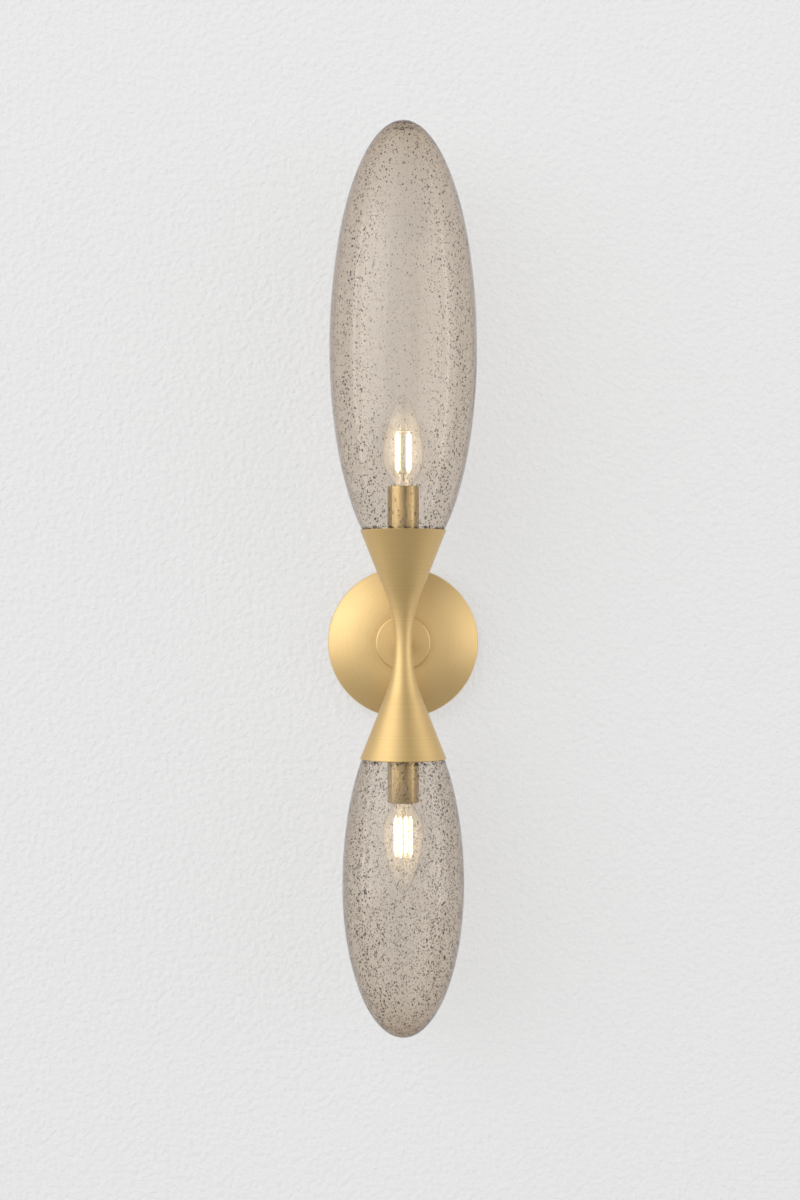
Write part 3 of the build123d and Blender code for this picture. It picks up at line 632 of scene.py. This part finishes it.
neck_inside = 0.0186
neck_outside = 0.0212
neck_end = 0.073415
neck_bevel = 0.0004
shoulder = 0.081865
throat_round, throat_drop = 0.0041, 0.0011
shoulder_round = 0.0015
heel_round, heel_in = 0.003, 0.0032
seat_radius = 0.031923
glass_wall = 0.0018
tip_wall = 0.0035
floor_wall = 0.003
egg_steps = 56
shades = {"upper": (0.057, 0.2285, 0.404), "lower": (0.047, 0.186, 0.303)}


def egg(belly, belly_level, tip, seat, foot):
    """Outline of a shade from its shoulder over the belly to the tip: two half ellipses that meet there."""
    reach = (belly_level - half_height) / math.sqrt(1 - (seat / belly) ** 2)
    low = math.asin((belly_level - foot) / reach)
    rings = []
    for step in range(egg_steps):
        angle = -low * (1 - step / egg_steps)
        rings.append((belly * math.cos(angle), belly_level + reach * math.sin(angle)))
    for step in range(egg_steps + 1):
        angle = math.pi / 2 * step / egg_steps
        radius = max(belly * math.cos(angle), on_axis)
        rings.append((radius, belly_level + (tip - belly_level) * math.sin(angle)))
    return rings


smoke = smoke_glass("smoke_glass")
inner_seat = seat_radius - glass_wall
heel_level = shoulder + heel_round
neck_rings = bend((neck_inside + throat_round, shoulder - throat_drop), throat_round, 90, 180, 8)
neck_rings += [(neck_inside, neck_end + neck_bevel), (neck_inside + neck_bevel, neck_end)]
neck_rings += [(neck_outside - neck_bevel, neck_end), (neck_outside, neck_end + neck_bevel)]
neck_rings += bend((neck_outside + shoulder_round, shoulder - shoulder_round), shoulder_round, 180, 90, 6)
for end, up in ends:
    belly, belly_level, tip = shades[end]
    outer = egg(belly, belly_level, tip, seat_radius, heel_level)
    inner = egg(belly - glass_wall, belly_level, tip - tip_wall, inner_seat, shoulder + floor_wall)
    heel_rings = bend((outer[0][0] - heel_in, heel_level), heel_round, -90, -20, 6)
    shade_rings = list(reversed(inner)) + neck_rings + heel_rings + outer
    shade = turned(f"{end}_shade", pointing(shade_rings, up), lamp_axis, sides=256, closed=False)
    lay(smoke, shade)
    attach(shade, f"{end}_shade")
    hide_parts(f"{end}_glass")


# Seeds. Small air bubbles caught in the glass while it was hot, drawn out along the shade as it was blown.
# They are drawn as specks in painted tones: dark for the shade a bubble shows where it bends the light away,
# faint face on and strong edge on, and pale for painted glints where a few catch the light. Dense dark
# specks also paint the shadow at the rim and a dark line round the upper tip.
def speck_paint(name, first, second, faint, strong, start, finish):
    """Specks in glass in two painted tones, faint face on and strong where the shade turns away."""
    material, tree, speck = new_material(name)
    tree.links.new(mix_colour(tree, grain(tree, 260), first, second), speck.inputs["Base Color"])
    speck.inputs["Roughness"].default_value = 0.25
    outward = tree.nodes.new("ShaderNodeAttribute")
    outward.attribute_name = "shade_outward"
    turned_away = tree.nodes.new("ShaderNodeLayerWeight")
    tree.links.new(outward.outputs["Vector"], turned_away.inputs["Normal"])
    shown = spread(tree, turned_away.outputs["Facing"], faint, strong, start, finish)
    tree.links.new(shown, speck.inputs["Alpha"])
    return material


size_spread = 0.45
least_width, most_width, most_depth = 0.0001, 0.0007, 0.0004
drawn_out, pressed_flat = (1.0, 1.9), 0.8
swell_levels = (0, 0.45, 0.8, 1)


def specks(name, outline, up, count, across, swell, chance, sunk):
    """Specks scattered evenly over a shade or band, each a small ball drawn out along it and pressed flat."""
    bpy.ops.object.select_all(action="DESELECT")
    bpy.ops.mesh.primitive_ico_sphere_add(subdivisions=1, radius=1)
    ball = bpy.context.object
    corners = np.array([v.co[:] for v in ball.data.vertices])
    facets = np.array([p.vertices[:] for p in ball.data.polygons])
    bpy.data.objects.remove(ball)
    line = np.array(outline)
    steps = np.diff(line, axis=0)
    band = np.hypot(steps[:, 0], steps[:, 1]) * (line[1:, 0] + line[:-1, 0])
    which = chance.choice(len(band), size=count, p=band / band.sum())
    share = chance.random(count)[:, None]
    spot = line[which] + steps[which] * share
    along = steps[which] / np.linalg.norm(steps[which], axis=1)[:, None]
    spot = spot - np.stack([along[:, 1], -along[:, 0]], axis=1) * chance.uniform(*sunk, count)[:, None]
    turn = chance.uniform(0, 2 * math.pi, count)
    outward = np.stack([np.cos(turn), np.sin(turn), np.zeros(count)], axis=1)
    sideways = np.stack([-np.sin(turn), np.cos(turn), np.zeros(count)], axis=1)
    upward = np.array([0.0, 0.0, 1.0])
    climb = outward * along[:, :1] + upward * along[:, 1:]
    normal = np.cross(sideways, climb)
    rise = (spot[:, 1] - line[0, 1]) / (line[-1, 1] - line[0, 1])
    wide = chance.lognormal(math.log(across), size_spread, count) * np.interp(rise, swell_levels, swell)
    width = np.clip(wide, least_width, most_width)[:, None, None]
    length = width * chance.uniform(*drawn_out, count)[:, None, None]
    depth = np.minimum(width * pressed_flat, most_depth)
    middle = outward * spot[:, :1] + upward * spot[:, 1:]
    shape = corners[None, :, :]
    points = middle[:, None, :] + shape[..., :1] * width * sideways[:, None, :]
    points = points + shape[..., 1:2] * length * climb[:, None, :]
    points = points + shape[..., 2:] * depth * normal[:, None, :]
    points = points * (1, 1, up) + np.array(lamp_axis)
    triangles = facets[None, :, :] + (np.arange(count) * len(corners))[:, None, None]
    mesh = bpy.data.meshes.new(name)
    mesh.from_pydata(points.reshape(-1, 3).tolist(), [], triangles.reshape(-1, 3).tolist())
    outward_of_shade = np.repeat(normal * (1, 1, up), len(corners), axis=0)
    facing = mesh.attributes.new("shade_outward", "FLOAT_VECTOR", "POINT")
    facing.data.foreach_set("vector", outward_of_shade.ravel())
    piece = bpy.data.objects.new(name, mesh)
    bpy.context.scene.collection.objects.link(piece)
    bpy.context.view_layer.objects.active = piece
    piece.select_set(True)
    bpy.ops.object.mode_set(mode="EDIT")
    bpy.ops.mesh.select_all(action="SELECT")
    bpy.ops.mesh.normals_make_consistent(inside=False)
    bpy.ops.object.mode_set(mode="OBJECT")
    bpy.ops.object.shade_smooth()
    return piece


# Painted tones: dark for the shade that bubbles, the rim and the tip show, pale for painted glints.
dark_tones = ((0.035, 0.022, 0.015), (0.11, 0.078, 0.055))
glint_tones = ((0.55, 0.49, 0.42), (0.85, 0.80, 0.73))
chance = np.random.default_rng(41)
upper_swell = (1.25, 0.95, 1.0, 1.0)
lower_swell = (0.92, 0.88, 0.94, 0.88)
even_swell = (1, 1, 1, 1)
in_the_wall, near_the_tip = (0.0005, 0.0013), (0.0005, 0.0010)
fine_width, large_width, pale_width = 0.00028, 0.00043, 0.00030
# Painted shadow: a dense band of dark specks just above the rim, for the shadow in the gap at the brass.
rim_count, rim_width, rim_level = 300, 0.00034, half_height + 0.0028
tip_count, tip_width, tip_inside, tip_outside = 260, 0.0004, 0.0042, 0.010
for end, up, swell, fine_count, fine_share, large_count, pale_count in (
    ("upper", 1, upper_swell, 5600, 0.22, 3400, 1500),
    ("lower", -1, lower_swell, 9400, 0.50, 3200, 2400),
):
    belly, belly_level, tip = shades[end]
    outline = egg(belly, belly_level, tip, seat_radius, half_height)[:-2]
    fine_seed = speck_paint(f"{end}_fine_seed", *dark_tones, fine_share, 0.9, 0.01, 0.15)
    large_seed = speck_paint(f"{end}_large_seed", *dark_tones, fine_share / 3, 1.0, 0.04, 0.20)
    glint_paint = speck_paint(f"{end}_glint_paint", *glint_tones, fine_share, 0.65, 0.01, 0.15)
    # Painted shade: nearly solid dark specks for the shadow at the rim and the dark line at the tip.
    dark_line_paint = speck_paint(f"{end}_dark_line_paint", *dark_tones, 0.9, 1.0, 0, 1)
    rim_band = [(r, z) for r, z in outline if z < rim_level]
    tip_ring = [(r, z) for r, z in outline if tip_inside < r < tip_outside and z > belly_level]
    kinds = [
        ("fine", fine_seed, outline, fine_count, fine_width, swell, in_the_wall),
        ("large", large_seed, outline, large_count, large_width, swell, in_the_wall),
        ("pale", glint_paint, outline, pale_count, pale_width, swell, in_the_wall),
        ("rim", dark_line_paint, rim_band, rim_count, rim_width, even_swell, in_the_wall),
    ]
    # Painted shade: a ring of dark specks inside the thick tip of the upper shade, for the dark line seen
    # there.
    if end == "upper":
        kinds.append(("tip", dark_line_paint, tip_ring, tip_count, tip_width, even_swell, near_the_tip))
    for kind, finish, line, number, width, swelling, sunk in kinds:
        speck_piece = specks(f"{end}_{kind}_seeds", line, up, number, width, swelling, chance, sunk)
        lay(finish, speck_piece)
        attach(speck_piece, f"{end}_shade")


# Studio. A pale plastered wall that carries the sconce and a pale floor well below it. A large soft lamp and
# a tall strip stand on the left and a weaker strip on the right, in a bright room, and the camera looks at
# the sconce from straight in front.
def pale_stage(name, grain_size, strength, tone, lift):
    """Matt pale plaster, open from behind so that the back of the sconce can be looked at."""
    material, tree, plaster = new_material(name)
    relief(tree, plaster, grain(tree, grain_size, 3), strength, depth=0.003)
    plaster.inputs["Base Color"].default_value = (tone, tone, tone, 1)
    plaster.inputs["Roughness"].default_value = 0.9
    plaster.inputs["Emission Color"].default_value = (1, 1, 1, 1)
    plaster.inputs["Emission Strength"].default_value = lift
    side = tree.nodes.new("ShaderNodeNewGeometry")
    open_side = tree.nodes.new("ShaderNodeMath")
    open_side.operation = "MAXIMUM"
    tree.links.new(side.outputs["Backfacing"], open_side.inputs[0])
    tree.links.new(lamp_light(tree), open_side.inputs[1])
    let_through(tree, plaster, open_side.outputs["Value"], (1, 1, 1))
    return material


bpy.ops.object.select_all(action="DESELECT")
bpy.ops.mesh.primitive_plane_add(size=7, location=(0, 0.0015, 1.2), rotation=toward_room)
wall = bpy.context.object
wall.name = "stage_wall"
lay(pale_stage("stage_plaster", 210, 1.0, 0.28, 0.51), wall)
bpy.ops.mesh.primitive_plane_add(size=9, location=(0, -2, -1.1))
floor = bpy.context.object
floor.name = "stage_floor"
lay(pale_stage("stage_floor_paint", 60, 0.05, 0.42, 0), floor)


def softbox(name, place, aim, size, power):
    """Large soft white lamp turned to a point on the sconce."""
    lamp = bpy.data.lights.new(name, "AREA")
    lamp.shape = "RECTANGLE"
    lamp.size, lamp.size_y = size
    lamp.energy = power
    holder = bpy.data.objects.new(name, lamp)
    holder.location = place
    holder.rotation_euler = (Vector(aim) - Vector(place)).to_track_quat("-Z", "Y").to_euler()
    bpy.context.scene.collection.objects.link(holder)


softbox("key_left", (-2.2, -2.0, 0.9), (0, -0.05, 0.05), (2.4, 2.4), 10)
softbox("strip_left", (-2.0, -0.36, 0.25), (0, -0.075, 0.1), (0.2, 2.2), 2.2)
softbox("strip_right", (1.9, -0.72, 0.15), (0, -0.075, 0.1), (0.25, 2.2), 1.8)

world = bpy.data.worlds.new("studio")
world.use_nodes = True
sky = world.node_tree
direction = sky.nodes.new("ShaderNodeTexCoord").outputs["Generated"]


def lobe(toward, low, high, strength):
    """Soft patch of light round one direction of the room, without an edge."""
    facing = sky.nodes.new("ShaderNodeVectorMath")
    facing.operation = "DOT_PRODUCT"
    facing.inputs[1].default_value = Vector(toward).normalized()
    sky.links.new(direction, facing.inputs[0])
    fade = sky.nodes.new("ShaderNodeMapRange")
    fade.interpolation_type = "SMOOTHSTEP"
    fade.inputs["From Min"].default_value = low
    fade.inputs["From Max"].default_value = high
    fade.inputs["To Max"].default_value = strength
    sky.links.new(facing.outputs["Value"], fade.inputs["Value"])
    return fade.outputs["Result"]


even_light = 0.36
window = lobe((-0.60, -0.80, -0.02), 0.5, 1.0, 1.2)
skylight = lobe((-0.80, -0.10, 0.59), 0.4, 1.0, 1.0)
reflector = lobe((0.95, -0.22, -0.20), 0.3, 1.0, 1.4)
room_light = None
for patch in (window, skylight, reflector):
    total = sky.nodes.new("ShaderNodeMath")
    total.operation = "ADD"
    total.inputs[1].default_value = even_light
    sky.links.new(patch, total.inputs[0])
    if room_light:
        sky.links.new(room_light, total.inputs[1])
    room_light = total.outputs["Value"]
sky.links.new(room_light, sky.nodes["Background"].inputs["Strength"])
sky.nodes["Background"].inputs["Color"].default_value = (1, 1, 1, 1)
scene = bpy.context.scene
scene.world = world
scene.view_settings.view_transform = "Standard"

camera = bpy.data.cameras.new("camera")
camera.lens = 60
camera.sensor_width = 36
eye = bpy.data.objects.new("camera", camera)
eye.location = (-0.0025, -1.617, 0.0342)
eye.rotation_euler = toward_room
scene.collection.objects.link(eye)
scene.camera = eye
